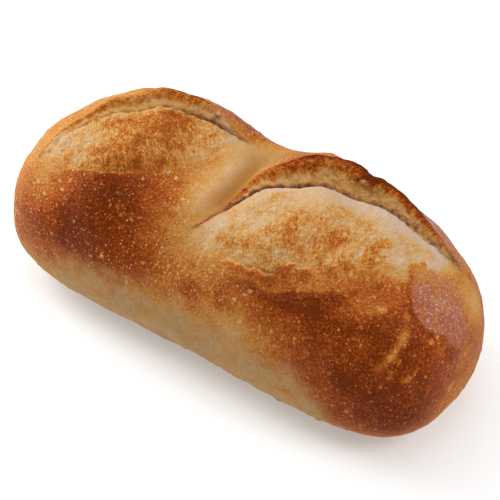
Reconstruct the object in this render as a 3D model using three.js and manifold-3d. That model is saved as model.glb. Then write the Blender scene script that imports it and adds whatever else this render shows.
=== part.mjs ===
// A sourdough batard: one oval hearth loaf with two slanting slashes that burst in the oven.
// Behind each slash the crust lifts into an ear, and in front of it the dough swells into a dome.
// Millimetres, +Z up, +X along the loaf, +Y towards the side that the ears lean to.
import * as THREE from "three";
import { mergeVertices } from "three/addons/utils/BufferGeometryUtils.js";
import Module from "manifold-3d";

const wasm = await Module();
wasm.setup();

// The loaf
const LENGTH = 260;
const WIDTH = 128;
const CRUST_HEIGHT = 94; // top of the plain crust, without the ears
const BELLY_HEIGHT = 31; // where the loaf is widest
const HEARTH_CUT = 7.4; // how much of the round underside the hearth has flattened
const PLAN_SQUARENESS = 3.3; // 2 is an ellipse, more is squarer
const TOP_SQUARENESS = 2.43;
const FOOT_SQUARENESS = 2.4;
const BEND = 13.7; // how far both ends curve towards the front
const WIDTH_TAPER = -0.076; // the +X end is narrower
const HEIGHT_TAPER = -0.05; // and a little lower

// The waist that crosses the loaf between the two slashes
const WAIST_X = -19.5;
const WAIST_DEPTH = 18;
const WAIST_HALF_LENGTH = 26;
const WAIST_SLANT = -0.13; // along X for each millimetre across

// The rear shoulder that sank a little behind the near ear, in plan
const SHOULDER_X = 52;
const SHOULDER_Y = 43;
const SHOULDER_HALF_LENGTH = 60;
const SHOULDER_HALF_WIDTH = 13;
const SHOULDER_DROP = 3.8;

// Uneven proofing: shallow swells over the whole crust
const SWELL = 0.7;
const SWELL_LENGTH = 34;
const SWELL_WANDER = 1.3; // radians that the swells along the loaf wander from side to side
const SWELL_OFFSET = 2; // radians between the two sets of swells

// The slashes, in plan: each runs from start to end, its crack bows to the rear, its torn lip to the front.
// earTaper is the bluntness of the first half of the ear, which is the more pointed one, and earPeak the
// share by which the ear stands higher at its peak.
const SLASHES = [
  {
    start: [-107, -48],
    end: [-26, 32],
    crackBow: [-75, 20],
    lipBow: [-30, -57],
    earRise: 6.2,
    earReach: 9,
    earTaper: 0.8,
    earPeak: 0.28,
    domeRise: 3.2,
  },
  {
    start: [-11, -40],
    end: [113, 14],
    crackBow: [28, 28],
    lipBow: [75, -68],
    earRise: 8.6,
    earReach: 13,
    earTaper: 1.3,
    earPeak: 0.42,
    domeRise: 3.4,
  },
];
const EAR_ROOT = 24; // how far the rear slope of an ear runs back into the crust
const EAR_PEAK_AT = 0.6; // where an ear's peak is and its half length, as shares of the ear
const EAR_PEAK_HALF = 0.25;
const CRACK_DEPTH = 9;
const CRACK_WIDTH = 3.2;
const LIP_RISE = 1.6; // torn crust that stands up along the front of a burst
const LIP_WIDTH = 7;
const LIP_TEARS = 9; // points of torn crust along one lip
const LIP_UNTORN = 0.35; // share of the lip's size that is left between two points
const TEAR_DRIFT = 7; // makes the points uneven in length
const SUNK = 2; // how far a feature's ends dive under the crust
const BLUNTNESS = 0.7; // 1 rounds a feature off as a sine does, less keeps it full nearer to its ends

// Facets
const LOAF_AROUND = 70;
const LOAF_ALONG = 56;
const DOME_AROUND = 26;
const DOME_ALONG = 20;
const RIDGE_AROUND = 9;
const RIDGE_ALONG = 36;

const CRUST = new THREE.MeshStandardMaterial({ color: 0xb5732f, roughness: 0.6, metalness: 0 });

const signedPower = (value, power) => Math.sign(value) * Math.abs(value) ** power;

// A superellipse: its upper half alone, or right round when it is given a lower height too.
class Superellipse extends THREE.Curve {
  constructor(halfWidth, halfHeight, squareness, lowHeight, lowSquareness) {
    super();
    Object.assign(this, { halfWidth, halfHeight, squareness, lowHeight, lowSquareness });
    this.turn = lowHeight ? 2 * Math.PI : Math.PI;
  }

  getPoint(t, target = new THREE.Vector3()) {
    const angle = this.turn * t;
    const low = Math.sin(angle) < 0;
    const power = 2 / (low ? this.lowSquareness : this.squareness);
    const height = low ? this.lowHeight : this.halfHeight;
    return target.set(
      -this.halfWidth * signedPower(Math.cos(angle), power),
      height * signedPower(Math.sin(angle), power),
      0,
    );
  }
}

// How full the loaf is at a share of its half length: 1 at the middle, 0 at both ends.
const fullness = (share) => Math.max(0, 1 - Math.abs(share) ** PLAN_SQUARENESS) ** (1 / PLAN_SQUARENESS);
const halfWidthAt = (share) => (WIDTH / 2) * fullness(share) * (1 + WIDTH_TAPER * share);
const riseAt = (share) => (CRUST_HEIGHT - BELLY_HEIGHT) * fullness(share) * (1 + HEIGHT_TAPER * share);

// The middle of the loaf's width, set so that the whole plan is centred on Y = 0.
function planCentre() {
  let front = 0;
  let rear = 0;
  for (let share = -1; share <= 1; share += 0.005) {
    front = Math.max(front, halfWidthAt(share) + BEND * share ** 2);
    rear = Math.max(rear, halfWidthAt(share) - BEND * share ** 2);
  }
  return (front - rear) / 2;
}
const CENTRE_Y = planCentre();
const middleAt = (share) => CENTRE_Y - BEND * share ** 2;

// Shallow swells, faded out at the belly so that the loaf keeps its length and width.
function swell(x, y, climb) {
  const k = (2 * Math.PI) / SWELL_LENGTH;
  const along = Math.sin(k * x + SWELL_WANDER * Math.sin(0.6 * k * y));
  const slanting = Math.sin(1.1 * k * y + 0.7 * k * x + SWELL_OFFSET);
  return SWELL * (along + slanting) * Math.min(1, climb * 2);
}

// 1 at the middle of a feature, fading over its half size.
const bell = (value, middle, half) => Math.exp(-(((value - middle) / half) ** 2));

// The crust above the belly: raises a plain height by the swells, lowers it at the waist and the shoulder.
function settle(x, y, rise) {
  const climb = Math.max(0, rise / (CRUST_HEIGHT - BELLY_HEIGHT));
  const waist = bell(x, WAIST_X + WAIST_SLANT * y, WAIST_HALF_LENGTH);
  const shoulder = bell(x, SHOULDER_X, SHOULDER_HALF_LENGTH) * bell(y, SHOULDER_Y, SHOULDER_HALF_WIDTH);
  return rise - climb * (WAIST_DEPTH * waist + SHOULDER_DROP * shoulder) + swell(x, y, climb);
}

// Height of the crust over a point of the plan.
function crustHeight(x, y) {
  const share = THREE.MathUtils.clamp((2 * x) / LENGTH, -1, 1);
  const halfWidth = Math.max(halfWidthAt(share), 1e-6);
  const across = Math.min(1, Math.abs(y - middleAt(share)) / halfWidth);
  const rise = riseAt(share) * (1 - across ** TOP_SQUARENESS) ** (1 / TOP_SQUARENESS);
  return BELLY_HEIGHT + settle(x, y, rise);
}

// A closed solid shaped from a sphere: place gives the point for a share along it and a share around it.
function shapedSphere(around, along, place) {
  const sphere = new THREE.SphereGeometry(1, around, along);
  const position = sphere.getAttribute("position");
  const uv = sphere.getAttribute("uv");
  for (let i = 0; i < position.count; i++) {
    const p = place(1 - uv.getY(i), THREE.MathUtils.euclideanModulo(uv.getX(i), 1));
    position.setXYZ(i, p.x, p.y, p.z);
  }
  sphere.deleteAttribute("normal");
  sphere.deleteAttribute("uv");
  const closed = mergeVertices(sphere, 1e-3);
  const solid = new wasm.Manifold(
    new wasm.Mesh({
      numProp: 3,
      vertProperties: closed.getAttribute("position").array,
      triVerts: new Uint32Array(closed.index.array),
    }),
  );
  return solid;
}

function loafBody() {
  const outline = new Superellipse(LENGTH / 2, WIDTH / 2, PLAN_SQUARENESS);
  const lowHeight = BELLY_HEIGHT + HEARTH_CUT;
  const section = new Superellipse(
    WIDTH / 2,
    CRUST_HEIGHT - BELLY_HEIGHT,
    TOP_SQUARENESS,
    lowHeight,
    FOOT_SQUARENESS,
  );
  return shapedSphere(LOAF_AROUND, LOAF_ALONG, (along, around) => {
    const x = outline.getPointAt(along).x;
    const share = (2 * x) / LENGTH;
    const corner = section.getPointAt(around);
    const y = middleAt(share) + (corner.x / (WIDTH / 2)) * halfWidthAt(share);
    const fill = corner.y / (CRUST_HEIGHT - BELLY_HEIGHT);
    const z =
      corner.y >= 0
        ? BELLY_HEIGHT + settle(x, y, fill * riseAt(share))
        : BELLY_HEIGHT + corner.y * fullness(share);
    return new THREE.Vector3(x, y, Math.max(0, z));
  });
}

const bow = (slash, control) =>
  new THREE.QuadraticBezierCurve(
    new THREE.Vector2(...slash.start),
    new THREE.Vector2(...control),
    new THREE.Vector2(...slash.end),
  );

// How open a slash is along its length: closed at both ends.
const openness = (along, taper = BLUNTNESS) => Math.sin(Math.PI * along) ** taper;

// A ridge or groove that follows a curve over the crust. Its section's corners are distances to the
// rear of the curve and heights above the crust; they shrink with the slash's openness.
function followingSolid(curve, corners, openAt = openness, liftAt = () => 1) {
  const section = new THREE.CatmullRomCurve3(
    corners.map(([across, up]) => new THREE.Vector3(across, up, 0)),
    true,
    "catmullrom",
    0.25,
  );
  return shapedSphere(RIDGE_AROUND, RIDGE_ALONG, (along, around) => {
    const foot = curve.getPoint(along);
    const ahead = curve.getTangent(along);
    const open = openAt(along);
    const corner = section.getPoint(around);
    const x = foot.x - ahead.y * corner.x * open;
    const y = foot.y + ahead.x * corner.x * open;
    return new THREE.Vector3(x, y, crustHeight(x, y) + corner.y * open * liftAt(along) - SUNK * (1 - open));
  });
}

// The dome of dough that swelled out between the torn lip and the crack.
function burstDome(slash) {
  const crack = bow(slash, slash.crackBow);
  const lip = bow(slash, slash.lipBow);
  return shapedSphere(DOME_AROUND, DOME_ALONG, (along, around) => {
    const front = lip.getPoint(along);
    const rear = crack.getPoint(along);
    const angle = 2 * Math.PI * around;
    const across = (1 - Math.cos(angle)) / 2;
    const p = front.lerp(rear, across);
    const fill = signedPower(Math.sin(angle), BLUNTNESS) * openness(along);
    const up = fill >= 0 ? fill * slash.domeRise : fill * CRACK_DEPTH;
    return new THREE.Vector3(p.x, p.y, crustHeight(p.x, p.y) + up - SUNK * (1 - openness(along)));
  });
}

// The crust that lifted behind a slash: a torn face that leans back to a crest, then a long rear slope.
function ear(slash) {
  const { earRise, earReach, earTaper, earPeak } = slash;
  const section = [
    [0, -CRACK_DEPTH],
    [earReach * 0.45, earRise * 0.35],
    [earReach, earRise],
    [earReach * 1.3, earRise * 0.6],
    [earReach + EAR_ROOT / 2, earRise * 0.1],
    [earReach + EAR_ROOT, -SUNK],
    [earReach, -CRACK_DEPTH],
  ];
  const openAt = (along) => openness(along, along < 0.5 ? earTaper : BLUNTNESS);
  const liftAt = (along) => 1 + earPeak * bell(along, EAR_PEAK_AT, EAR_PEAK_HALF);
  return followingSolid(bow(slash, slash.crackBow), section, openAt, liftAt);
}

// The gap that is left between the dome and the foot of the ear.
function crack(slash) {
  return followingSolid(bow(slash, slash.crackBow), [
    [-CRACK_WIDTH * 0.8, slash.domeRise],
    [CRACK_WIDTH * 0.1, slash.domeRise * 1.5],
    [CRACK_WIDTH * 0.5, 0],
    [CRACK_WIDTH * 0.4, -CRACK_DEPTH * 0.75],
    [-CRACK_WIDTH * 0.2, -CRACK_DEPTH * 0.6],
  ]);
}

// Torn crust along the front of a burst, in ragged points.
function tornLip(slash) {
  const ragged = (along) => {
    const tears = Math.abs(Math.sin(LIP_TEARS * Math.PI * along + Math.sin(TEAR_DRIFT * along)));
    return openness(along) * THREE.MathUtils.lerp(LIP_UNTORN, 1, tears);
  };
  return followingSolid(
    bow(slash, slash.lipBow),
    [
      [LIP_WIDTH * 0.55, LIP_RISE],
      [LIP_WIDTH * 0.3, -SUNK],
      [-LIP_WIDTH * 0.6, -SUNK],
      [-LIP_WIDTH, -0.3],
      [0, LIP_RISE * 0.7],
    ],
    ragged,
  );
}

function loafGeometry() {
  let loaf = loafBody();
  for (const slash of SLASHES) loaf = loaf.add(burstDome(slash)).add(ear(slash)).add(tornLip(slash));
  for (const slash of SLASHES) loaf = loaf.subtract(crack(slash));
  const mesh = loaf.getMesh();
  const geometry = new THREE.BufferGeometry();
  geometry.setAttribute("position", new THREE.BufferAttribute(mesh.vertProperties, 3));
  geometry.setIndex(new THREE.BufferAttribute(mesh.triVerts, 1));
  geometry.computeVertexNormals();
  return geometry;
}

const batard = new THREE.Group();
const loaf = new THREE.Mesh(loafGeometry(), CRUST);
loaf.name = "loaf";
batard.add(loaf);

export default batard;
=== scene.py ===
"""A sourdough batard, dressed in its baked crust.

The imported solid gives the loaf's form. A finer skin is made from a copy of it: lumps, blisters, the torn
dough of the bursts, ragged lips, ears and folds are moved into the mesh, and every point is told how dark it
was baked. Relief is worked out in millimetres in the solid's own frame: +X along the loaf, +Y to the side
that the ears lean to, +Z up.
"""
import math
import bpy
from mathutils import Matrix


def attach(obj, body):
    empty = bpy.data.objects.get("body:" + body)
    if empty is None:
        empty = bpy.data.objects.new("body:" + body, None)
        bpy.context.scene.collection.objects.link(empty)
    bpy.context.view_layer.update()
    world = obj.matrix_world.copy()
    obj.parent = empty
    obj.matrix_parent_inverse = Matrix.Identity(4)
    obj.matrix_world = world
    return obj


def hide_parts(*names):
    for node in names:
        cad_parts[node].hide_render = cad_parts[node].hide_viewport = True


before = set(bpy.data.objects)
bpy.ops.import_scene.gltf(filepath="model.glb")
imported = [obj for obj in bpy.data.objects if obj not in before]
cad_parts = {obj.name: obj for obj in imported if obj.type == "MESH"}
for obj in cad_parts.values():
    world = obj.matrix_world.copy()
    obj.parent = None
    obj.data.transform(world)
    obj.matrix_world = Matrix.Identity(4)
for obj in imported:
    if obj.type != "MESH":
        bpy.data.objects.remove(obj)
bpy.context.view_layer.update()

from types import SimpleNamespace

import bmesh
import bpy
import numpy as np
from bpy.props import FloatProperty, FloatVectorProperty, IntProperty, PointerProperty
from mathutils import Matrix, Vector, noise

bl_info = {
    "name": "Sourdough batard",
    "version": (1, 0, 0),
    "blender": (4, 5, 0),
    "location": "3D View > Sidebar > Batard",
    "description": "Dresses a solid loaf in its baked crust and sets it on a plain stage",
    "category": "Object",
}

NODE = "loaf"
BODY = "root"
MM = 0.001


def curve(start, bow, end):
    """A line on the loaf, in millimetres seen from above: from start to end, leaning towards bow."""
    return SimpleNamespace(start=start, bow=bow, end=end)


# The two slashes, the far one first. Each crack bows to the rear and each torn lip to the front; shares run
# along them from their front end to their rear end.
# reach: how far the crest of the ear lies behind the crack
# taper: how pointed the first half of the ear is
# gapes: 1 where the crack gapes and its ear stands high, else 0
# crumb: how far up the ear's face bare crumb shows, by share
# gap: how open the crack is and how dark its painted shade is, by share
# scorch: how much browner the ear's face gets towards its crest
# rim: bake of the ear's crest where it is palest and where it is darkest
# charred: shares at which the crest starts to darken, is dark, starts to fade and is pale again
# patches: how strongly the burst is toasted in patches
# dusting: change of the bake beside the crack
# least: bake of the palest dough away from the crack
# tear: roughness of the lip
# crags: roughness of the burst beside the crack
# crisp: places along the lip that tore clean: middle, half length and how clean
# flaps: how far torn crust stands out over the burst, by share along the lip
SLASHES = (
    SimpleNamespace(
        crack=curve((-107, -48), (-75, 20), (-26, 32)),
        lip=curve((-107, -48), (-30, -57), (-26, 32)),
        reach=9,
        taper=0.8,
        gapes=0,
        crumb=((0.0, 0.30), (0.6, 0.36), (0.8, 0.50), (1.0, 0.50)),
        gap=((0.0, 0.55), (0.25, 0.30), (0.62, 0.35), (0.78, 0.90), (1.0, 0.90)),
        scorch=0.30,
        rim=(0.39, 0.57),
        charred=(0.30, 0.52, 0.78, 0.95),
        patches=0.16,
        dusting=0.04,
        least=0.18,
        tear=0.5,
        crags=1.0,
        crisp=((0.36, 0.14, 1.0), (0.80, 0.16, 0.5)),
        flaps=((0.0, 6.0), (0.13, 2.0), (0.29, 0.0), (0.51, -1.6), (0.64, 0.2), (0.89, 2.7), (1.0, 3.0)),
    ),
    SimpleNamespace(
        crack=curve((-11, -40), (28, 28), (113, 14)),
        lip=curve((-11, -40), (75, -68), (113, 14)),
        reach=13,
        taper=1.3,
        gapes=1,
        crumb=((0.0, 0.30), (0.3, 0.33), (0.5, 0.42), (0.68, 0.56), (1.0, 0.56)),
        gap=((0.0, 0.95), (0.40, 0.95), (0.52, 0.70), (0.66, 0.75), (0.76, 0.95), (1.0, 0.95)),
        scorch=0.40,
        rim=(0.55, 0.87),
        charred=(0.20, 0.42, 0.78, 0.92),
        patches=0.26,
        dusting=-0.10,
        least=0.13,
        tear=1.0,
        crags=0.4,
        crisp=((0.345, 0.13, 1.0), (0.873, 0.03, 1.0)),
        flaps=(
            (0.0, 0.0), (0.235, -0.9), (0.275, -0.5), (0.315, -0.7), (0.355, -1.2), (0.378, -0.2),
            (0.384, 4.6), (0.398, 3.2), (0.415, 3.0), (0.430, 3.3), (0.448, 4.2), (0.458, 2.4),
            (0.492, 1.7), (0.562, 0.9), (0.70, 0.0), (0.825, 0.0), (0.848, 4.3), (0.883, 5.4),
            (0.897, 4.4), (0.902, 0.6), (0.932, 0.4), (0.97, 2.1), (1.0, 3.3),
        ),
    ),
)

# How bluntly a slash ends: below 1, it opens wide close to its ends
BLUNTNESS = 0.7

# The fold of crust that overhangs the dark flank in front of the near burst, the groove between the waist
# and the near ear, and the edge, middle and half sizes of a glossy film of starch on the near end
# Shadow is painted on the flank just under this fold
FOLD = curve((22, -52), (86, -56), (101, -8))
# Painted shade darkens the crust along this groove
VALLEY = curve((-9, -34), (-6, 2), (-21, 40))
# The film is raised and glossier; its mauve colour and bright grains are painted sheen and painted glints
FILM = curve((101, -10), (118, -38.5), (128.5, -10))
FILM_MIDDLE = (117, -13, 69)
FILM_HALF = (17, 17, 20)

# Bits of torn dough that stand across the cracks: middle, half sizes and turn in degrees
BITS = (
    ((-90, -17, 89), (5.0, 1.6, 1.6), -34),
    ((47.5, 18.8, 96.4), (2.6, 1.1, 1.5), 38),
    ((52.5, 18.6, 95.2), (2.4, 1.1, 2.1), 5),
    ((-46, 28, 87), (1.6, 4.0, 1.5), 20),
)

# Places where the crust broke away, and crumbs that stick to it: middle, half width and rise
BUMPS = (
    ((52, 26, 97), 4.0, -2.2),
    ((-57, 6, 95), 3.0, -0.8),
    ((-41, 42, 73), 1.6, 1.5),
    ((-36, 44, 71), 1.2, 1.2),
    ((-31, 45, 69), 1.8, 1.7),
    ((-26, 44, 70), 1.2, 1.2),
    ((-20, 42, 72), 1.4, 1.3),
    ((83, -56, 12), 2.2, 1.1),
    ((60, -60, 9), 2.0, 0.8),
)

# Where the oven's heat reached more or less: middle, half sizes and the change in bake
HEAT = (
    ((-54, -52, 73), (30, 28, 24), 0.46),
    ((-72, -62, 54), (24, 20, 18), 0.20),
    ((-55, -46, 80), (14, 8, 8), 0.12),
    ((-34, -34, 78), (14, 18, 16), 0.14),
    ((-46, -62, 54), (32, 16, 14), 0.33),
    ((-100, -62, 46), (20, 18, 18), 0.34),
    ((-108, -48, 68), (22, 30, 24), -0.04),
    ((-16, -6, 77), (12, 40, 20), -0.28),
    ((-34, 22, 79), (16, 14, 14), -0.20),
    ((8, -56, 58), (16, 10, 14), 0.06),
    ((40, -56, 63), (26, 10, 10), 0.07),
    ((100, -52, 54), (40, 36, 38), 0.47),
    ((124, -42, 42), (24, 22, 24), 0.30),
    ((129, -28, 44), (12, 16, 20), 0.25),
    ((70, -50, 71), (18, 5, 5), 0.18),
    ((36, -62, 50), (16, 12, 10), -0.10),
    ((-60, 54, 62), (36, 26, 26), 0.38),
    ((62, 58, 62), (42, 26, 26), 0.40),
    ((126, 24, 46), (16, 30, 28), 0.24),
    ((-124, 14, 46), (16, 34, 28), 0.16),
)

# Small spots of crust or torn dough that caught more heat or less: middle, half sizes and change in bake
SPOTS = (
    ((6, -58, 55), (7, 8, 6), 0.30),
    ((23, -58, 58), (6, 7, 5), 0.18),
    ((-57, 6, 95), (4, 4, 6), 0.26),
    ((-60, -10, 96), (16, 14, 10), 0.04),
    ((97, -57, 48), (5, 5, 5), 0.22),
    ((102, -43, 71), (6, 6, 5), 0.10),
    ((115, -34, 67), (8, 8, 9), 0.14),
    ((109, -26, 76), (7, 9, 7), 0.10),
    ((93, -38, 76), (8, 7, 5), -0.16),
    ((113, 20, 68), (2.0, 2.0, 2.0), 0.30),
    ((121, 14, 61), (6, 9, 11), -0.32),
    ((50, 18, 96), (6, 4.5, 4), 0.30),
    ((56, 22, 96), (6, 5, 5), 0.26),
    ((-70, -60, 60), (9, 8, 7), 0.12),
    ((-43, 28, 82), (10, 6, 8), -0.26),
    ((-80, 6, 95), (14, 8, 6), -0.08),
    ((-90, -17, 89), (6, 4, 4), 0.18),
    ((80, -10, 91), (8, 7, 6), 0.10),
    ((62, -24, 89), (9, 8, 6), 0.08),
    ((10, -36, 84), (8, 7, 6), -0.08),
    ((104, 2, 80), (8, 9, 5), -0.10),
    ((44, -48, 75), (17, 6, 5), 0.11),
    ((88, -22, 85), (9, 7, 5), 0.12),
    ((78, -31, 85), (8, 6, 5), 0.06),
    ((-37, -2, 85), (0.7, 0.7, 2.0), 0.55),
    ((-92, -30, 86), (18, 12, 12), -0.04),
    ((97, -11, 83), (8, 7, 6), -0.11),
    ((-6, -62, 25), (16, 8, 10), -0.15),
)

# Painted light and painted shade: places made brighter or duller as a whole: middle, half sizes and change
PAINTED_LIGHTING = (
    ((-8, -44, 68), (16, 14, 12), -0.20),
    ((0, 26, 84), (14, 10, 8), -0.24),
    ((57, 24, 95), (12, 8, 6), -0.20),
    ((-56, -48, 77), (14, 8, 10), -0.20),
    ((-45, -39, 82), (10, 8, 6), -0.10),
    ((122, -47, 28), (16, 14, 10), -0.32),
    ((103, -42, 71), (9, 8, 7), -0.22),
    ((-6, -62, 26), (18, 10, 10), -0.10),
    ((-74, -52, 76), (12, 9, 10), 0.22),
    ((-88, -62, 57), (14, 10, 12), 0.42),
    ((-46, -62, 57), (14, 8, 9), 0.25),
    ((127, -27, 50), (9, 11, 15), 0.30),
    ((28, 14, 100), (14, 6, 4), -0.14),
    ((-15, -2, 78), (12, 26, 10), 0.09),
    ((-41, 4, 86), (14, 20, 8), 0.12),
)

# Streaks and scratches in the skin, most of them pale: both ends, half width and change in bake
STREAKS = (
    ((114, -33, 70), (113, -43, 63), 2.3, -0.42),
    ((113, -44, 62), (110, -49, 57), 1.8, -0.30),
    ((116, -46, 57), (115, -47, 54), 1.2, -0.25),
    ((122, -41, 53), (121, -43, 52), 1.6, -0.30),
    ((123, -36, 56), (122, -41, 52), 0.7, -0.25),
    ((128, -31, 44), (128, -34, 41), 0.8, -0.25),
    ((127, -37, 39), (123, -45, 39), 0.6, -0.18),
    ((95, -48, 67), (98, -47, 68), 0.8, -0.28),
    ((100, -34, 78), (101, -33, 78), 1.6, -0.30),
    ((110, -28, 75), (111, -28, 75), 1.6, -0.28),
    ((115, -10, 75), (117, -9, 74), 2.2, -0.30),
    ((6, -51, 66), (7, -44, 73), 1.2, -0.20),
    ((42, -60, 19), (69, -61, 27), 0.5, 0.30),
)

# The bake above which more heat counts for less, and the room that is left above it
DARK_BAKE = 0.7
DARK_ROOM = 0.26

# Height of the pale dull foot, in millimetres
FOOT_HEIGHT = 40


def smooth_step(low, high, value):
    """0 at low, 1 at high, with a soft start and end."""
    share = np.clip((value - low) / (high - low), 0, 1)
    return share * share * (3 - 2 * share)


def bell(value, middle, half_width):
    """1 at middle, fading over half_width to either side."""
    return np.exp(-(((value - middle) / half_width) ** 2))


def blend(first, second, share):
    """first where share is 0, second where it is 1."""
    return first * (1 - share) + second * share


def wave(points, size, shift=0.0):
    """Smooth noise of about -1 to 1, in lumps of about size; each shift gives another pattern."""
    return np.array([noise.noise(point) for point in (points / size + shift).tolist()])


def patch(points, middle, half):
    """1 at middle, fading over the half sizes."""
    away = (points - np.array(middle, float)) / np.array(half, float)
    return np.exp(-(away**2).sum(axis=1))


def on_skin(points, spot):
    """The point of the skin that is nearest to a place."""
    return points[np.argmin(((points - np.array(spot, float)) ** 2).sum(axis=1))]


def line_distance(points, start, end):
    """Distance of points from the straight line between two places on the skin."""
    start, end = on_skin(points, start), on_skin(points, end)
    run = end - start + 1e-6
    share = np.clip((points - start) @ run / (run @ run), 0, 1)
    return np.linalg.norm(points - start - share[:, None] * run, axis=1)


def curve_points(line, shares):
    """Points of a curve in plan."""
    start, bow, end = (np.array(point, float) for point in (line.start, line.bow, line.end))
    share = shares[:, None]
    return (1 - share) ** 2 * start + 2 * share * (1 - share) * bow + share**2 * end


def curve_place(points, line, steps=140):
    """For each point, seen from above: the share along the curve, how far behind it and beyond its ends."""
    plan = points[:, :2]
    shares = np.linspace(0, 1, steps + 1)
    track = curve_points(line, shares)
    ahead = np.gradient(track, axis=0)
    ahead /= np.linalg.norm(ahead, axis=1, keepdims=True)
    nearest = np.concatenate(
        [
            np.argmin(((part[:, None, :] - track[None]) ** 2).sum(axis=2), axis=1)
            for part in np.array_split(plan, 64)
        ]
    )
    away = plan - track[nearest]
    behind = ahead[nearest, 0] * away[:, 1] - ahead[nearest, 1] * away[:, 0]
    beyond = np.abs((ahead[nearest] * away).sum(axis=1))
    return SimpleNamespace(share=shares[nearest], behind=behind, beyond=beyond)


def slash_place(points, slash):
    """Where points lie about a slash, and how much of each of its parts they belong to."""
    crack = curve_place(points, slash.crack)
    lip = curve_place(points, slash.lip)
    high = smooth_step(40, 55, points[:, 2])
    inside = high * (crack.beyond < 2)
    opening = np.sin(np.pi * crack.share) ** BLUNTNESS * inside
    ear = np.sin(np.pi * crack.share) ** np.where(crack.share < 0.5, slash.taper, BLUNTNESS) * inside
    length = np.linalg.norm(np.subtract(slash.crack.end, slash.crack.start))
    along = (crack.share + lip.share) / 2 * length
    track = np.column_stack([along, np.zeros_like(along), np.full_like(along, slash.reach)])
    edge = lip.behind + slash.tear * (0.7 * wave(track, 5.5) + 0.7 * wave(track, 2.4, 3.0))
    edge -= np.interp(lip.share, *zip(*slash.flaps))
    crisp = np.zeros(len(points))
    for middle, half, share in slash.crisp:
        crisp = np.maximum(crisp, share * smooth_step(1.5 * half, half, np.abs(lip.share - middle)))
    softness = blend(5.0, 0.5, crisp)
    lip_opening = np.sin(np.pi * lip.share) ** BLUNTNESS * high
    front = crack.behind < 0
    return SimpleNamespace(
        share=crack.share,
        lip_share=lip.share,
        behind_crack=crack.behind,
        opening=opening,
        ear=ear,
        lip_opening=lip_opening,
        edge=edge,
        crisp=crisp,
        across=np.clip(lip.behind / np.maximum(lip.behind - crack.behind, 1e-6), 0, 1),
        torn=front * smooth_step(-softness, softness, edge) * smooth_step(0.02, 0.25, lip_opening),
        rear=(crack.behind > 0) * smooth_step(0.04, 0.16, ear),
        climb=crack.behind / np.maximum(slash.reach * ear, 1e-3),
        weave=np.column_stack([along, lip.behind, np.full_like(along, 8.0 * slash.reach)]),
    )


def by_share(place, table):
    """A value that a table gives by share along the slash."""
    return np.interp(place.share, *zip(*table))


def fold_place(points):
    """Where points lie about the fold: behind it is the overhanging crust, in front the flank below."""
    fold = curve_place(points, FOLD)
    fold.behind += 1.2 * wave(points, 8, 21.0)
    fold.strength = np.sin(np.pi * fold.share) ** 0.5 * smooth_step(45, 60, points[:, 2])
    fold.sharp = fold.strength * blend(1.0, 0.35, smooth_step(0.45, 0.75, fold.share))
    return fold


def valley_place(points):
    """Where points lie about the groove beside the near ear, and how much painted shade darkens them."""
    valley = curve_place(points, VALLEY)
    fade = np.sin(np.pi * valley.share) ** 0.6 * smooth_step(58, 70, points[:, 2]) * (valley.beyond < 2)
    valley.groove = fade * bell(valley.behind, 0, 4.5)
    valley.bank = fade * bell(valley.behind, 11, 7)
    # Painted shade: darkest at the groove's bottom by the ear, fading more slowly up the bank
    valley.shade = fade * bell(valley.behind, 0, np.where(valley.behind > 0, 6, 9))
    return valley


def film_place(points):
    """Where points lie about the starch film and its painted sheen: it starts at a torn edge and fades out
    behind it.
    """
    film = curve_place(points, FILM)
    film.behind += 1.6 * wave(points, 7, 23.0)
    away = np.linalg.norm((points - FILM_MIDDLE) / FILM_HALF, axis=1) + 0.15 * wave(points, 7, 51.0)
    film.inside = 0.88 * smooth_step(-0.5, 0.5, film.behind) * smooth_step(1.45, 0.55, away)
    # Painted shadow: a dark line just outside the film's raised edge
    film.edge = bell(film.behind, -1.4, 1.6) * smooth_step(1.6, 1.2, away)
    return film


def survey(points):
    """Where every point lies about the loaf's slashes, fold, valley and film."""
    return SimpleNamespace(
        slashes=[slash_place(points, slash) for slash in SLASHES],
        fold=fold_place(points),
        valley=valley_place(points),
        film=film_place(points),
    )


def raise_step(rise, across, height, half_width, upper_reach, lower_reach):
    """A torn edge: the skin rises where across is positive, sinks where it isn't and fades off both ways."""
    upper = smooth_step(-half_width, half_width, across)
    rise += height * upper * np.exp(-np.maximum(across, 0) / upper_reach)
    rise -= 0.6 * height * (1 - upper) * np.exp(np.minimum(across, 0) / lower_reach)


def raise_burst(rise, slash, place, sizes, crumb, grit):
    """Torn fibres over the dough of a burst, and the step at its lip."""
    fibre = wave(place.weave * (1 / 2.4, 1 / 8.0, 1.0) + 0.35 * crumb[:, None], 1.0)
    calm = 1 - 0.65 * (1 - slash.crags) * smooth_step(0.45, 0.8, place.across)
    rise += calm * place.torn * sizes.fibre * (0.7 * fibre + 0.7 * crumb + 0.5 * grit)
    step = sizes.lip * slash.tear * place.crisp * place.lip_opening
    raise_step(rise, -place.edge, step, 0.6, 6, 6)


def raise_crack(rise, points, slash, place, sizes):
    """Dough that closes a crack where it doesn't gape, and the crags in front of it."""
    closed = 1 - by_share(place, slash.gap)
    filled = closed * place.opening * bell(place.behind_crack, 0.5, 2.0)
    rise += filled * sizes.strand * (1 + wave(points, 5, 55.0))
    rugged = slash.crags * sizes.crag * place.torn
    rise += rugged * bell(place.behind_crack, -3, 4) * wave(points, 4, 47.0)


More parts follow.
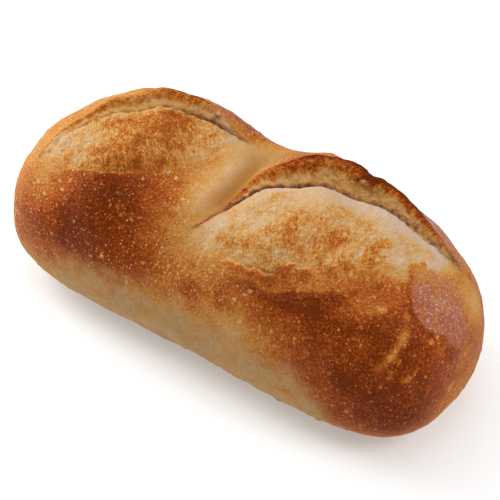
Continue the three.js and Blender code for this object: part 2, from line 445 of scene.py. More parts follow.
def relief(points, places, sizes):
    """How far each point of the skin moves along its normal, in millimetres."""
    height = points[:, 2]
    crumb = wave(points, 3.2, 9.0)
    grit = wave(points, 1.7, 17.0)
    skin = np.ones(len(points))
    rise = sizes.lump * (wave(points, 27) + 0.4 * wave(points, 9, 5.0))
    for slash, place in zip(SLASHES, places.slashes):
        raise_burst(rise, slash, place, sizes, crumb, grit)
        skin *= 1 - place.torn
        face = place.rear * smooth_step(1.25, 1.05, place.climb)
        rise += face * smooth_step(1.0, 0.8, place.climb) * sizes.fibre * (1.1 * crumb + 0.6 * grit)
        skin *= 1 - face
        raise_crack(rise, points, slash, place, sizes)
        crest = bell(place.climb, 1.05, 0.22) * place.ear * (place.behind_crack > 0)
        rise += crest * sizes.crest * (0.6 * crumb + 0.4 * wave(points, 9, 27.0))
    raise_step(rise, places.fold.behind, sizes.fold * places.fold.sharp, 1.1, 7, 5)
    rise -= sizes.valley * (places.valley.groove - 0.45 * places.valley.bank)
    rise += sizes.film * places.film.inside * np.exp(-np.maximum(places.film.behind, 0) / 9)
    for middle, half, lift in BUMPS:
        rise += lift * patch(points, on_skin(points, middle), (half, half, half))
    for start, end, half, change in STREAKS:
        rise += sizes.streak * -np.sign(change) * bell(line_distance(points, start, end), 0, half)
    rise += skin * sizes.blister * (smooth_step(0.3, 0.6, wave(points, 4.2, 31.0)) + 0.3 * crumb)
    rise += sizes.burr * smooth_step(16, 5, height) * (crumb + wave(points, 6, 33.0))
    return rise * smooth_step(0.5, 5, height)


def baked(points, places):
    """What the oven did to each point: the bake, from 0 floury to 1 burnt, and masks for other finishes."""
    skin = plain_crust(points, places)
    for slash, place in zip(SLASHES, places.slashes):
        skin.bake = blend(skin.bake, burst_toast(points, slash, place), place.torn)
        bake_ear(skin, points, slash, place)
        bake_lip(skin, slash, place)
        paint_crack_shade(skin, points, slash, place)
        mine = (place.lip_opening > 0.02) & (place.edge > -20) & (place.behind_crack < 20)
        skin.weave[mine] = place.weave[mine] * MM
    mark_skin(skin, points)
    dough = np.maximum(skin.burst, skin.ear)
    skin.foot *= 1 - dough
    # Pale blisters, which also stand in for painted glints on the crust
    skin.fleck = (1 - dough) * (1 - 0.8 * skin.foot) * smooth_step(0.2, 0.6, skin.bake)
    skin.fleck *= blend(1.0, 0.65, smooth_step(20, 60, points[:, 0]))
    skin.bake = np.clip(skin.bake, 0, 1)
    return skin


def plain_crust(points, places):
    """The crust before the slashes as the heat left it: pale foot, fold, film, and painted shadow under the
    fold.
    """
    along, height = points[:, 0], points[:, 2]
    bake = 0.42 + 0.10 * wave(points, 28, 2.0) + 0.08 * wave(points, 10, 4.0)
    for middle, half, change in HEAT:
        bake += change * patch(points, middle, half)
    bake = np.where(bake > DARK_BAKE, DARK_BAKE + DARK_ROOM * np.tanh((bake - DARK_BAKE) / DARK_ROOM), bake)
    foot_line = FOOT_HEIGHT - 38 * smooth_step(64, 112, along) - 16 * smooth_step(-58, -88, along)
    foot = smooth_step(11, -9, height - foot_line + 6 * wave(points, 18, 6.0) + 6 * wave(points, 6, 45.0))
    bake -= 0.25 * foot * smooth_step(32, 18, height)
    fold = places.fold
    shelf = fold.strength * smooth_step(-1.0, 1.5, fold.behind)
    bake = blend(bake, 0.60 + 0.10 * wave(points, 5, 35.0), shelf)
    # Painted shadow on the flank just under the fold's overhang
    bake += 0.34 * fold.sharp * smooth_step(0.2, -1.2, fold.behind) * np.exp(np.minimum(fold.behind, 0) / 6)
    # Painted shadow line just outside the film's raised edge
    bake += 0.12 * places.film.edge
    return SimpleNamespace(
        bake=bake,
        foot=foot,
        burst=0.5 * shelf,
        ear=np.zeros(len(points)),
        crumb=np.zeros(len(points)),
        # Painted shade in the cracks
        crack=np.zeros(len(points)),
        # Painted sheen on the film
        film=places.film.inside.copy(),
        # Painted shade of the groove beside the near ear
        shade=places.valley.shade.copy(),
        # Patches of painted light and painted shade
        bright=np.ones(len(points)),
        weave=np.zeros((len(points), 3)),
    )


def bake_ear(skin, points, slash, place):
    """The ear behind a crack: pale crumb low on its face, browner dough above, a dark crest and its back,
    with painted sheen.
    """
    lifted = 0.14 * slash.gapes * smooth_step(0.55, 0.72, place.share)
    climb = place.climb + 0.10 * wave(points, 6, 8.0) + 0.06 * wave(points, 2.5, 41.0) + lifted
    face = place.rear * smooth_step(1.02, 0.9, climb)
    bare = by_share(place, slash.crumb)
    browned = 0.25 + slash.scorch * smooth_step(bare, bare + 0.35, climb) + 0.2 * wave(points, 3, 39.0)
    skin.bake = blend(skin.bake, browned, face)
    skin.crumb = np.maximum(skin.crumb, face * smooth_step(bare + 0.12, bare - 0.10, climb))

    darkens, dark, fades, pale_again = slash.charred
    charred = smooth_step(darkens, dark, place.share) * smooth_step(pale_again, fades, place.share)
    layers = 0.06 * bell(climb, 0.84, 0.04) - 0.16 * bell(climb, 0.91, 0.03)
    layers += 0.13 * smooth_step(0.94, 1.0, climb)
    palest, darkest = slash.rim
    crest = place.rear * smooth_step(0.818, 0.92, climb) * smooth_step(2.6, 1.4, climb)
    skin.bake = blend(skin.bake, blend(palest, darkest + layers, charred), crest)

    frayed = place.rear * bell(climb, 0.45, 0.12) * smooth_step(0.62, 0.74, place.share) * slash.gapes
    skin.bake = blend(skin.bake, 0.06, frayed * smooth_step(-0.1, 0.3, wave(points, 3.5, 57.0)))
    # Painted sheen on the back of the near ear's far end
    back = place.rear * smooth_step(1.0, 1.3, climb) * smooth_step(4.0, 2.6, climb)
    skin.film = np.maximum(skin.film, 0.7 * back * smooth_step(0.6, 0.72, place.share) * slash.gapes)
    # The ear itself gets none of the groove's painted shade
    skin.shade *= 1 - place.rear * smooth_step(1.7, 1.3, climb)
    skin.ear = np.maximum(skin.ear, place.rear * smooth_step(1.4, 1.2, climb))


def bake_lip(skin, slash, place):
    """The torn lip: crust singed along its clean edges, and a pale hollow behind them."""
    skin.bake += 0.12 * place.crisp * place.lip_opening * bell(place.edge, -1.5, 1.8) * slash.gapes
    hollow = place.crisp * place.torn * smooth_step(6, 2, place.edge) * slash.gapes
    skin.bake = blend(skin.bake, 0.20, 0.75 * hollow)
    skin.burst = np.maximum(skin.burst, place.torn * (1 - 0.5 * hollow))


def paint_crack_shade(skin, points, slash, place):
    """Painted shade in a crack: dark where open, wide and ragged where it gapes, broken where it closed."""
    wide = smooth_step(0.4, 0.5, place.share) * slash.gapes
    ragged = 1.3 * wave(points, 3, 37.0) + 0.8 * wave(points, 1.3, 49.0)
    half_width = 1.4 + 1.0 * wide + 0.9 * wave(points, 6, 43.0)
    gap = bell(place.behind_crack + ragged, 0.8 + 0.9 * wide, half_width)
    gap *= by_share(place, slash.gap)
    gap *= 1 - 0.5 * wide * smooth_step(0.15, -0.15, wave(points, 1.8, 59.0))
    closed = smooth_step(0.6, 0.3, place.share) * (1 - slash.gapes)
    broken = blend(1.0, smooth_step(-0.25, 0.15, wave(points, 7, 53.0)), closed)
    skin.crack = np.maximum(skin.crack, gap * broken * smooth_step(0.05, 0.3, place.opening))


def mark_skin(skin, points):
    """Spots, broken places, streaks, and patches of painted light and painted shade."""
    for middle, half, change in SPOTS:
        skin.bake += change * patch(points, on_skin(points, middle), half)
    for middle, half, lift in BUMPS:
        skin.bake -= 0.06 * lift * patch(points, on_skin(points, middle), (half, half, half))
    for start, end, half, change in STREAKS:
        skin.bake += change * bell(line_distance(points, start, end), 0, half)
    # Painted light and painted shade
    for middle, half, change in PAINTED_LIGHTING:
        skin.bright += change * patch(points, middle, half)


def burst_toast(points, slash, place):
    """How toasted the dough of a burst is: pale by the crack and at the ends, browner in the middle."""
    share, across = place.share, place.across
    toast = near_toast(place) if slash.gapes else far_toast(place)
    floury = smooth_step(0.5, 0.75, share) * slash.gapes
    browner = smooth_step(0.96 - 0.10 * floury, 0.79 - 0.25 * floury, across)
    patchy = slash.patches * wave(points, 11, 12.0) + 0.16 * wave(points, 5.5, 14.0)
    return np.maximum(toast + slash.dusting * (1 - browner) + browner * patchy, slash.least * browner)


def far_toast(place):
    """The far burst: one broad brown patch that leans along it, and a browner lip at its front end."""
    share, across = place.share, place.across
    leaning = share + 0.16 * (0.6 - across)
    toast = 0.13 + 0.46 * bell(leaning, 0.53, 0.34) * smooth_step(1.02, 0.72, across)
    toast -= 0.05 * smooth_step(0.3, 0.05, across)
    toast += 0.18 * bell(share, 0.26, 0.18) * smooth_step(0.45, 0.08, across)
    return toast


def near_toast(place):
    """The near burst: pale, with brown patches in its middle and along its lip."""
    share, across = place.share, place.across
    toast = 0.08 + 0.06 * smooth_step(0.98, 0.86, across) * smooth_step(0.9, 0.6, share)
    toast += 0.25 * bell(share, 0.58, 0.32) * smooth_step(0.95, 0.4, across)
    toast += 0.12 * bell(share, 0.66, 0.2) * bell(across, 0.24, 0.18)
    toast += 0.10 * bell(share, 0.38, 0.14) * bell(across, 0.36, 0.18)
    toast += 0.16 * bell(place.lip_share, 0.22, 0.12) * smooth_step(0.55, 0.15, across)
    toast += 0.10 * bell(place.lip_share, 0.76, 0.08) * smooth_step(0.6, 0.2, across)
    toast -= 0.05 * smooth_step(0.65, 0.8, share)
    return toast


def number(name, description, default):
    """A number setting."""
    return FloatProperty(name=name, description=description, default=default)


def colour(name, description, default):
    """A colour setting."""
    return FloatVectorProperty(
        name=name, description=description, subtype="COLOR", size=3, min=0, max=1, default=default
    )


class CrustSizes(bpy.types.PropertyGroup):
    """Sizes of the crust's relief, in millimetres where no other unit is named."""

    grid: FloatProperty(name="Grid", description="Spacing of the fine mesh", default=0.8, min=0.6, max=4)
    triangles: IntProperty(
        name="Triangles",
        description="Most triangles that the skin keeps",
        default=195000,
        min=20000,
        max=199000,
    )
    smoothing: IntProperty(
        name="Smoothing",
        description="Rounds of smoothing that take out the solid's facets",
        default=26,
        min=0,
        max=60,
    )
    lump: number("Lumps", "Height of the skin's shallow lumps", 0.5)
    fibre: number("Fibres", "Height of torn dough fibres", 0.7)
    crag: number("Crags", "Height of crags along a burst's rim", 1.0)
    lip: number("Lip", "Height of the torn lip's edge", 2.1)
    strand: number("Strands", "Dough that fills a closed crack", 2.4)
    crest: number("Crest", "Raggedness of an ear's crest", 0.55)
    fold: number("Fold", "Overhang of the fold of crust", 1.8)
    valley: number("Valley", "Depth of the groove beside the near ear", 4.0)
    film: number("Film", "Height of the edge of the starch film", 0.5)
    streak: number("Streak", "Height of pale streaks", 0.35)
    blister: number("Blister", "Height of the skin's blisters", 0.3)
    burr: number("Burr", "Roughness of the edge round the base", 0.5)


class CrustColours(bpy.types.PropertyGroup):
    """Colours of the crust, from floury to burnt."""

    flour: colour("Flour", "Dough that stayed pale", (0.54, 0.395, 0.30))
    cream: colour("Cream", "Pale dough", (0.56, 0.345, 0.155))
    straw: colour("Straw", "Barely coloured crust", (0.52, 0.255, 0.068))
    gold: colour("Gold", "Golden crust", (0.49, 0.185, 0.030))
    toast: colour("Toast", "Orange-brown crust", (0.39, 0.098, 0.014))
    brown: colour("Brown", "Brown crust", (0.295, 0.056, 0.007))
    dark: colour("Dark", "Dark brown crust", (0.195, 0.030, 0.002))
    burnt: colour("Burnt", "Nearly burnt crust", (0.13, 0.022, 0.002))
    foot: colour("Foot", "Dull crust low on the sides", (0.48, 0.31, 0.155))
    foot_shade: colour("Foot shade", "Darker mottling low on the sides", (0.41, 0.225, 0.085))
    # Painted shade for the groove beside the near ear
    groove: colour("Groove", "Crust in the groove beside the near ear", (0.37, 0.168, 0.035))
    crumb: colour("Crumb", "Torn crumb on the ears", (0.58, 0.305, 0.088))
    # Painted shade at the bottom of the cracks
    crack: colour("Crack", "Bottom of the cracks", (0.16, 0.053, 0.030))
    torn: colour("Torn", "Toasted dough in the bursts", (0.29, 0.083, 0.015))
    # Painted sheen: the film's mauve and its bright grains stand for reflected light
    film: colour("Film", "Glossy film of starch on the near end", (0.33, 0.103, 0.064))
    painted_glint: colour("Glint", "Bright grains in the film", (0.56, 0.32, 0.26))


class StageSettings(bpy.types.PropertyGroup):
    """Camera, lights and floor."""

    azimuth: FloatProperty(
        name="Azimuth",
        description="Turn of the camera",
        subtype="ANGLE",
        default=math.radians(38.77),
    )
    elevation: FloatProperty(
        name="Elevation",
        description="How far the camera looks down",
        subtype="ANGLE",
        default=math.radians(40),
    )
    distance: FloatProperty(name="Distance", description="Camera to loaf", unit="LENGTH", default=0.8)
    lens: number("Lens", "Focal length in mm, on a 36 mm sensor", 113.4)
    key: number("Key light", "Watts of the soft light on the right", 4.0)
    top: number("Top light", "Watts of the wide light overhead", 11.0)
    side: number("Side light", "Watts of the soft light on the left", 8.9)
    ambient: number("Ambient", "Strength of the pale surroundings", 0.25)
    floor: colour("Floor", "Pale floor", (0.7, 0.7, 0.7))
    glow: number("Glow", "Light that the floor gives off", 0.3)


def link(obj):
    bpy.context.scene.collection.objects.link(obj)
    return obj


def add_bit(bm, middle, half, turn):
    """A bit of torn dough, fused to the crust around it when the mesh is remade."""
    place = Matrix.Translation(Vector(middle) * MM) @ Matrix.Rotation(math.radians(turn), 4, "Z")
    bmesh.ops.create_icosphere(
        bm, subdivisions=3, radius=1.0, matrix=place @ Matrix.Diagonal((*(size * MM for size in half), 1))
    )


def fine_mesh(sizes):
    """A copy of the solid with its bits of dough, remade as one even fine grid."""
    bm = bmesh.new()
    bm.from_mesh(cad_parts[NODE].data)
    bmesh.ops.remove_doubles(bm, verts=bm.verts, dist=0.001 * MM)
    for middle, half, turn in BITS:
        add_bit(bm, middle, half, turn)
    mesh = bpy.data.meshes.new("loaf_start")
    bm.to_mesh(mesh)
    bm.free()
    start = link(bpy.data.objects.new("loaf_start", mesh))
    remesh = start.modifiers.new("Even grid", "REMESH")
    remesh.mode = "VOXEL"
    remesh.voxel_size = sizes.grid * MM
    return take_result(start)


def take_result(start):
    """The mesh that an object's modifiers make; the object itself is removed."""
    result = bpy.data.meshes.new_from_object(start.evaluated_get(bpy.context.evaluated_depsgraph_get()))
    mesh = start.data
    bpy.data.objects.remove(start)
    bpy.data.meshes.remove(mesh)
    return result


def read_points(mesh, kind="co"):
    values = np.empty(len(mesh.vertices) * 3)
    mesh.vertices.foreach_get(kind, values)
    return values.reshape(-1, 3)


def write_points(mesh, points):
    mesh.vertices.foreach_set("co", points.ravel())
    mesh.update()


def soften(mesh, rounds):
    """Averages each point with its neighbours, less so by the ears and cracks."""
    points = read_points(mesh) / MM
    keep = np.zeros(len(points))
    for slash in SLASHES:
        place = slash_place(points, slash)
        near = bell(place.behind_crack, slash.reach * 0.7, slash.reach * 0.8) * (place.opening > 0.05)
        keep = np.maximum(keep, near)
    pull = (0.5 * (1 - 0.92 * keep))[:, None]
    ends = np.empty(len(mesh.edges) * 2, dtype=np.int64)
    mesh.edges.foreach_get("vertices", ends)
    first, second = ends.reshape(-1, 2).T
    both, other = np.concatenate([first, second]), np.concatenate([second, first])
    count = np.bincount(both, minlength=len(points))[:, None]
    for _ in range(rounds):
        total = [np.bincount(both, points[other, axis], len(points)) for axis in range(3)]
        points = points + pull * (np.column_stack(total) / count - points)
    points[:, 2] = np.maximum(points[:, 2], 0)
    write_points(mesh, points * MM)


def thin(mesh, triangles):
    """The same skin with fewer triangles, kept where the relief is."""
    start = link(bpy.data.objects.new("loaf_thin", mesh))
    mesh.calc_loop_triangles()
    fewer = start.modifiers.new("Fewer triangles", "DECIMATE")
    fewer.ratio = min(1, triangles / len(mesh.loop_triangles))
    return take_result(start)


def store(mesh, name, values):
    """Keeps a number or a vector for every point of the skin."""
    kind, key = ("FLOAT_VECTOR", "vector") if values.ndim == 2 else ("FLOAT", "value")
    mesh.attributes.new(name, kind, "POINT").data.foreach_set(key, values.astype(np.float32).ravel())


class Nodes:
    """Short ways to add and join shader nodes."""

    def __init__(self, material):
        material.use_nodes = True
        self.tree = material.node_tree
        self.tree.nodes.clear()

    def add(self, kind, inputs=None, **settings):
        node = self.tree.nodes.new(kind)
        for name, value in settings.items():
            setattr(node, name, value)
        for name, value in (inputs or {}).items():
            self.feed(node.inputs[name], value)
        return node

    def feed(self, socket, value):
        if isinstance(value, bpy.types.NodeSocket):
            self.tree.links.new(value, socket)
        else:
            socket.default_value = value

    def attribute(self, name, vector=False):
        node = self.add("ShaderNodeAttribute", attribute_name=name)
        return node.outputs["Vector" if vector else "Fac"]

    def maths(self, operation, *values, clamp=False):
        node = self.add("ShaderNodeMath", operation=operation, use_clamp=clamp)
        for socket, value in zip(node.inputs, values):
            self.feed(socket, value)
        return node.outputs["Value"]

    def add_part(self, value, pattern, share, amount):
        """A value with some of a pattern added: value + pattern * share * amount."""
        return self.maths("MULTIPLY_ADD", self.maths("MULTIPLY", pattern, share), amount, value)

    def range(self, value, low, high, to_low=0.0, to_high=1.0):
        """The value moved from one range to another, with a soft start and end."""
        node = self.add("ShaderNodeMapRange", interpolation_type="SMOOTHSTEP")
        for name, given in zip(
            ("Value", "From Min", "From Max", "To Min", "To Max"), (value, low, high, to_low, to_high)
        ):
            self.feed(node.inputs[name], given)
        return node.outputs["Result"]

    def noise(self, vector, scale, detail=3.0, rough=0.55):
        """Noise about 0, of about -0.5 to 0.5."""
        made = self.add(
            "ShaderNodeTexNoise", {"Vector": vector, "Scale": scale, "Detail": detail, "Roughness": rough}
        )
        return self.maths("SUBTRACT", made.outputs["Fac"], 0.5)

    def crisp(self, value, half):
        """The same noise with flat tops and bottoms, of -0.5 to 0.5."""
        return self.range(value, -half, half, -0.5, 0.5)

    def stretch(self, vector, sizes):
        """A vector measured in steps of the given sizes, in millimetres."""
        scale = tuple(1 / (size * MM) for size in sizes)
        return self.add("ShaderNodeMapping", {"Vector": vector, "Scale": scale}).outputs["Vector"]

    def jumble(self, vector, scale, size):
        """A vector moved about by noise, by up to about half of size in millimetres."""
        made = self.add("ShaderNodeTexNoise", {"Vector": vector, "Scale": scale, "Detail": 1.0})
        away = self.add("ShaderNodeVectorMath", operation="SUBTRACT")
        self.feed(away.inputs[0], made.outputs["Color"])
        away.inputs[1].default_value = (0.5, 0.5, 0.5)
        moved = self.add("ShaderNodeVectorMath", operation="MULTIPLY_ADD")
        self.feed(moved.inputs[0], away.outputs["Vector"])
        moved.inputs[1].default_value = (size * MM,) * 3
        self.feed(moved.inputs[2], vector)
        return moved.outputs["Vector"]

    def mix(self, share, first, second):
        node = self.add("ShaderNodeMix", data_type="RGBA")
        self.feed(node.inputs["Factor"], share)
        self.feed(node.inputs["A"], first)
        self.feed(node.inputs["B"], second)
        return node.outputs["Result"]

    def scale(self, tone, factor):
        """A colour made brighter or duller."""
        node = self.add("ShaderNodeVectorMath", {"Scale": factor}, operation="SCALE")
        self.feed(node.inputs[0], tone)
        return node.outputs["Vector"]

    def ramp(self, value, stops):
        """Colours that follow one another as value grows."""
        node = self.add("ShaderNodeValToRGB", {"Fac": value})
        while len(node.color_ramp.elements) < len(stops):
            node.color_ramp.elements.new(0.5)
        for element, (position, tone) in zip(node.color_ramp.elements, stops):
            element.position = position
            element.color = (*tone, 1)
        return node.outputs["Color"]


# The values that each point of the skin keeps, beside the direction of its fibres; several carry painted
# shade, light, sheen and glints
MASKS = ("bake", "foot", "burst", "ear", "crumb", "crack", "film", "shade", "bright", "fleck")


def blisters(nodes, place, scale, rarity, widest):
    """Round spots scattered over the skin: 1 at the middle of a spot, 0 off it."""
    cell = nodes.add("ShaderNodeTexVoronoi", {"Vector": place, "Scale": scale})
    chance = nodes.add("ShaderNodeSeparateColor", {"Color": cell.outputs["Color"]}).outputs
    size = nodes.range(chance["Red"], rarity, 1.0, 0.0, widest)
    near = nodes.maths("DIVIDE", cell.outputs["Distance"], nodes.maths("MAXIMUM", size, 0.001))
    strength = nodes.range(chance["Green"], 0.0, 1.0, 0.35, 1.0)
    return nodes.maths("MULTIPLY", nodes.range(near, 1.0, 0.5), strength)


def crust_patterns(nodes, fleck):
    """Patterns in the crust: noise over the whole skin, fibres that follow the bursts, pale blisters and
    painted glints.
    """
    place = nodes.add("ShaderNodeTexCoord").outputs["Object"]
    weave = nodes.attribute("weave", vector=True)
    grain = nodes.noise(place, 900.0, 2.0)
    stroke = nodes.noise(nodes.stretch(nodes.jumble(weave, 350.0, 3.0), (0.9, 1.8, 1.0)), 1.0, 2.0)
    strand = nodes.maths("ABSOLUTE", nodes.noise(nodes.stretch(weave, (3.6, 6.5, 1.0)), 1.0, 1.0))
    layer = nodes.noise(nodes.stretch(weave, (5.0, 1.2, 1.0)), 1.0, 2.0)
    jumbled = nodes.jumble(place, 900.0, 1.3)
    jumbled_more = nodes.jumble(place, 450.0, 4.0)
    spots = blisters(nodes, jumbled, 640.0, 0.0, 0.46)
    spots = nodes.maths("MAXIMUM", spots, blisters(nodes, jumbled, 300.0, 0.45, 0.42))
    spots = nodes.maths("MAXIMUM", spots, blisters(nodes, jumbled_more, 130.0, 0.75, 0.34))
    return SimpleNamespace(
        mottle=nodes.noise(place, 160.0, 4.0),
        grain=grain,
        pebble=nodes.crisp(grain, 0.18),
        patches=nodes.noise(place, 90.0, 4.0),
        stroke=nodes.crisp(stroke, 0.2),
        tuft=nodes.noise(nodes.stretch(weave, (3.2, 4.6, 1.0)), 1.0, 3.0),
        strand=nodes.range(strand, 0.0, 0.05, 1.0, 0.0),
        layer=nodes.crisp(layer, 0.2),
        fleck=nodes.maths("MULTIPLY", spots, fleck),
        # Painted glints in the film
        painted_glint=nodes.range(nodes.noise(place, 800.0, 2.0), 0.02, 0.15),
        film=nodes.range(nodes.noise(place, 200.0, 2.0), -0.14, 0.06, 0.3, 1.0),
        dust=nodes.range(nodes.noise(place, 420.0, 3.0), -0.32, 0.26),
    )


def fine_bake(nodes, masks, patterns):
    """The bake's fine variation: mottling, pebbles, torn fibres, ear layers, and blisters that also paint
    glints.
    """
    bake, burst = masks.bake, masks.burst
    vigour = nodes.maths("MULTIPLY", burst, nodes.range(bake, 0.08, 0.40, 0.25, 1.0))
    bake = nodes.maths("MULTIPLY_ADD", patterns.mottle, nodes.range(burst, 0.0, 1.0, 0.32, 0.12), bake)
    roughest = nodes.range(burst, 0.0, 1.0, 0.24, 0.18)
    rugged = nodes.maths("MULTIPLY", nodes.range(bake, 0.15, 0.45, 0.4, 1.0), roughest)
    bake = nodes.maths("MULTIPLY_ADD", patterns.pebble, rugged, bake)
    bake = nodes.add_part(bake, patterns.stroke, vigour, 0.26)
    bake = nodes.add_part(bake, patterns.tuft, vigour, 0.55)
    bake = nodes.add_part(bake, patterns.strand, vigour, -0.20)
    bake = nodes.add_part(bake, patterns.layer, masks.ear, 0.20)
    # Pale blisters, which also stand in for painted glints
    return nodes.maths("MULTIPLY_ADD", patterns.fleck, -0.60, bake)


def crust_tone(nodes, masks, patterns, bake, colours):
    """The crust's colour: bake ramp, toasted dough, painted film sheen, foot, painted groove shade, crumb,
    painted crack shade.
    """
    ramp = (
        (0.0, colours.flour),
        (0.15, colours.cream),
        (0.30, colours.straw),
        (0.45, colours.gold),
        (0.60, colours.toast),
        (0.75, colours.brown),
        (0.88, colours.dark),
        (1.0, colours.burnt),
    )
    tone = nodes.ramp(bake, ramp)
    toasted = nodes.maths("MULTIPLY", masks.burst, nodes.range(bake, 0.50, 0.74, 0.0, 0.5))
    tone = nodes.mix(toasted, tone, (*colours.torn, 1))
    # Painted sheen and painted glints on the film
    painted_sheen_tone = nodes.mix(patterns.painted_glint, (*colours.film, 1), (*colours.painted_glint, 1))
    tone = nodes.mix(nodes.maths("MULTIPLY", masks.film, patterns.film), tone, painted_sheen_tone)
    foot_tone = nodes.mix(patterns.dust, (*colours.foot_shade, 1), (*colours.foot, 1))
    foot_share = nodes.maths("MULTIPLY", masks.foot, nodes.range(patterns.patches, -0.12, 0.08, 0.40, 1.0))
    tone = nodes.mix(foot_share, tone, foot_tone)
    # Painted shade in the groove beside the near ear
    tone = nodes.mix(nodes.maths("MULTIPLY", masks.shade, 0.95), tone, (*colours.groove, 1))
    crumb = nodes.maths("MULTIPLY", masks.crumb, nodes.range(patterns.layer, -0.5, 0.5, 1.0, 0.6))
    tone = nodes.mix(crumb, tone, (*colours.crumb, 1))
    # Painted shade in the cracks
    tone = nodes.mix(masks.crack, tone, (*colours.crack, 1))
    # Patches of painted light and painted shade
    return nodes.scale(tone, masks.bright)


def crust_roughness(nodes, masks, bake):
    """Well baked crust and the film shine a little; torn dough and the foot are matt."""
    rough = nodes.range(bake, 0.2, 0.8, 0.75, 0.36)
    rough = nodes.maths("MULTIPLY_ADD", masks.film, -0.12, rough)
    matt = nodes.maths("MAXIMUM", nodes.maths("MAXIMUM", masks.burst, masks.ear), masks.foot)
    return nodes.maths("MAXIMUM", rough, nodes.maths("MULTIPLY", matt, 0.85))


def crust_bump(nodes, masks, patterns):
    """Grain too fine for the mesh."""
    height = nodes.maths("MULTIPLY", patterns.grain, nodes.range(masks.burst, 0.0, 1.0, 1.5, 1.6))
    height = nodes.maths("MULTIPLY_ADD", patterns.fleck, 0.35, height)
    height = nodes.add_part(height, patterns.stroke, masks.burst, 0.7)
    height = nodes.add_part(height, patterns.tuft, masks.burst, 1.8)
    height = nodes.add_part(height, patterns.layer, masks.ear, 0.7)
    bump = nodes.add("ShaderNodeBump", {"Strength": 0.6, "Distance": 0.6 * MM, "Height": height})
    return bump.outputs["Normal"]


def crust_material(colours):
    """Baked crust: a ramp from floury to burnt, pale blisters, torn fibres, dull foot, cracks of painted
    shade, painted sheen.
    """
    material = bpy.data.materials.new("baked_crust")
    nodes = Nodes(material)
    masks = SimpleNamespace(**{name: nodes.attribute(name) for name in MASKS})
    patterns = crust_patterns(nodes, masks.fleck)
    bake = fine_bake(nodes, masks, patterns)
    shader = nodes.add(
        "ShaderNodeBsdfPrincipled",
        {
            "Base Color": crust_tone(nodes, masks, patterns, bake, colours),
            "Roughness": crust_roughness(nodes, masks, bake),
            "Specular IOR Level": 0.05,
            "Normal": crust_bump(nodes, masks, patterns),
        },
    )
    nodes.add("ShaderNodeOutputMaterial", {"Surface": shader.outputs["BSDF"]})
    return material


class BATARD_OT_loaf(bpy.types.Operator):
    """Dress the solid loaf in its baked crust"""

    bl_idname = "batard.loaf"
    bl_label = "Loaf"

    def execute(self, context):
        sizes = context.scene.batard_sizes
        mesh = fine_mesh(sizes)
        soften(mesh, sizes.smoothing)
        points = read_points(mesh) / MM
        points += relief(points, survey(points), sizes)[:, None] * read_points(mesh, "normal")
        points[:, 2] = np.maximum(points[:, 2], 0)
        write_points(mesh, points * MM)
        mesh = thin(mesh, sizes.triangles)
        points = read_points(mesh) / MM
        for name, values in vars(baked(points, survey(points))).items():
            store(mesh, name, values)
        mesh.polygons.foreach_set("use_smooth", np.ones(len(mesh.polygons), dtype=bool))
        mesh.name = "loaf_crust"
        mesh.materials.clear()
        mesh.materials.append(crust_material(context.scene.batard_colours))
        crust = link(bpy.data.objects.new("loaf_crust", mesh))
        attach(crust, BODY)
        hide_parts(NODE)
        return {"FINISHED"}


class BATARD_OT_stage(bpy.types.Operator):
    """Set out the floor, the lights and the camera"""

    bl_idname = "batard.stage"
    bl_label = "Stage"

    def execute(self, context):
        settings = context.scene.batard_stage
        lay_floor(settings)
        hang_lights(settings)
        aim_camera(settings)
        context.scene.view_settings.view_transform = "Standard"
        return {"FINISHED"}


FLOOR_HALF = 3.0

# Lights: the direction from the loaf, the distance and the side of each square panel
KEY_LIGHT = SimpleNamespace(toward=Vector((0.72, 0.08, 0.68)), away=1.0, side=0.45)
TOP_LIGHT = SimpleNamespace(toward=Vector((-0.2, 0.1, 1.0)), away=1.2, side=1.6)
SIDE_LIGHT = SimpleNamespace(toward=Vector((-0.90, -0.06, 0.45)), away=1.0, side=0.6)

# The loaf's middle, and where it lies in the picture, in pixels of a 500 pixel frame
LOAF_MIDDLE = Vector((0, 0, 47 * MM))
FRAME_SIDE = 500
LOAF_PIXEL = (254.5, 236.76)
PIXELS_PER_MM = 1.9684


def lay_floor(settings):
    bm = bmesh.new()
    bmesh.ops.create_grid(bm, x_segments=1, y_segments=1, size=FLOOR_HALF)
    mesh = bpy.data.meshes.new("floor")
    bm.to_mesh(mesh)
    bm.free()
    material = bpy.data.materials.new("floor")
    nodes = Nodes(material)
    shader = nodes.add(
        "ShaderNodeBsdfPrincipled",
        {
            "Base Color": (*settings.floor, 1),
            "Roughness": 0.9,
            "Emission Color": (1, 1, 1, 1),
            "Emission Strength": settings.glow,
        },
    )
    nodes.add("ShaderNodeOutputMaterial", {"Surface": shader.outputs["BSDF"]})
    mesh.materials.append(material)
    floor = link(bpy.data.objects.new("floor", mesh))


def hang_panel(name, panel, watts):
    """A square soft light that faces the loaf."""
    light = bpy.data.lights.new(name, "AREA")
    light.shape = "SQUARE"
    light.size = panel.side
    light.energy = watts
    lamp = link(bpy.data.objects.new(name, light))
    lamp.location = panel.toward.normalized() * panel.away
    lamp.rotation_euler = panel.toward.to_track_quat("Z", "Y").to_euler()


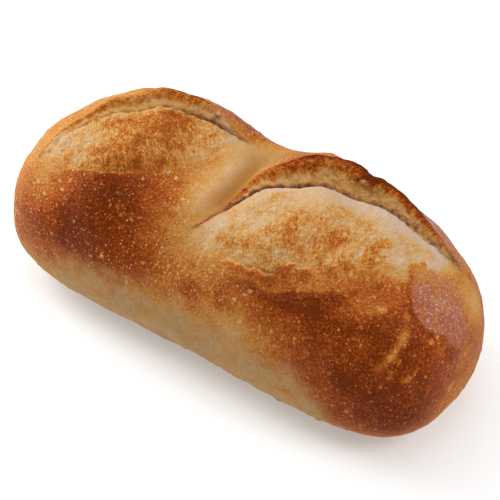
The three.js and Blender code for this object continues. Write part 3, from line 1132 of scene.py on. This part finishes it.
def hang_lights(settings):
    hang_panel("key", KEY_LIGHT, settings.key)
    hang_panel("top", TOP_LIGHT, settings.top)
    hang_panel("side", SIDE_LIGHT, settings.side)
    world = bpy.data.worlds.new("surroundings")
    world.use_nodes = True
    background = world.node_tree.nodes["Background"]
    background.inputs["Color"].default_value = (1, 1, 1, 1)
    background.inputs["Strength"].default_value = settings.ambient
    bpy.context.scene.world = world


def aim_camera(settings):
    turn, tilt = settings.azimuth, settings.elevation
    right = Vector((math.cos(turn), math.sin(turn), 0))
    back = Vector((math.sin(turn) * math.cos(tilt), -math.cos(turn) * math.cos(tilt), math.sin(tilt)))
    up = back.cross(right)
    aside = (LOAF_PIXEL[0] - FRAME_SIDE / 2) / PIXELS_PER_MM * MM
    above = (FRAME_SIDE / 2 - LOAF_PIXEL[1]) / PIXELS_PER_MM * MM
    aim = LOAF_MIDDLE - right * aside - up * above
    lens = bpy.data.cameras.new("camera")
    lens.lens = settings.lens
    camera = link(bpy.data.objects.new("camera", lens))
    facing = Matrix((right, up, back)).transposed().to_4x4()
    camera.matrix_world = Matrix.Translation(aim + back * settings.distance) @ facing
    bpy.context.scene.camera = camera


class BATARD_PT_panel(bpy.types.Panel):
    """Lists the pieces and their settings"""

    bl_label = "Batard"
    bl_space_type = "VIEW_3D"
    bl_region_type = "UI"
    bl_category = "Batard"

    def draw(self, context):
        for operator, settings in (
            (BATARD_OT_loaf, ("batard_sizes", "batard_colours")),
            (BATARD_OT_stage, ("batard_stage",)),
        ):
            box = self.layout.box()
            box.operator(operator.bl_idname)
            for group in settings:
                owner = getattr(context.scene, group)
                for name in owner.__annotations__:
                    box.prop(owner, name)


CLASSES = (CrustSizes, CrustColours, StageSettings, BATARD_OT_loaf, BATARD_OT_stage, BATARD_PT_panel)


def register():
    for item in CLASSES:
        bpy.utils.register_class(item)
    bpy.types.Scene.batard_sizes = PointerProperty(type=CrustSizes)
    bpy.types.Scene.batard_colours = PointerProperty(type=CrustColours)
    bpy.types.Scene.batard_stage = PointerProperty(type=StageSettings)


def unregister():
    for name in ("batard_sizes", "batard_colours", "batard_stage"):
        delattr(bpy.types.Scene, name)
    for item in reversed(CLASSES):
        bpy.utils.unregister_class(item)


def main():
    register()
    bpy.ops.batard.loaf()
    bpy.ops.batard.stage()


if __name__ == "__main__":
    main()
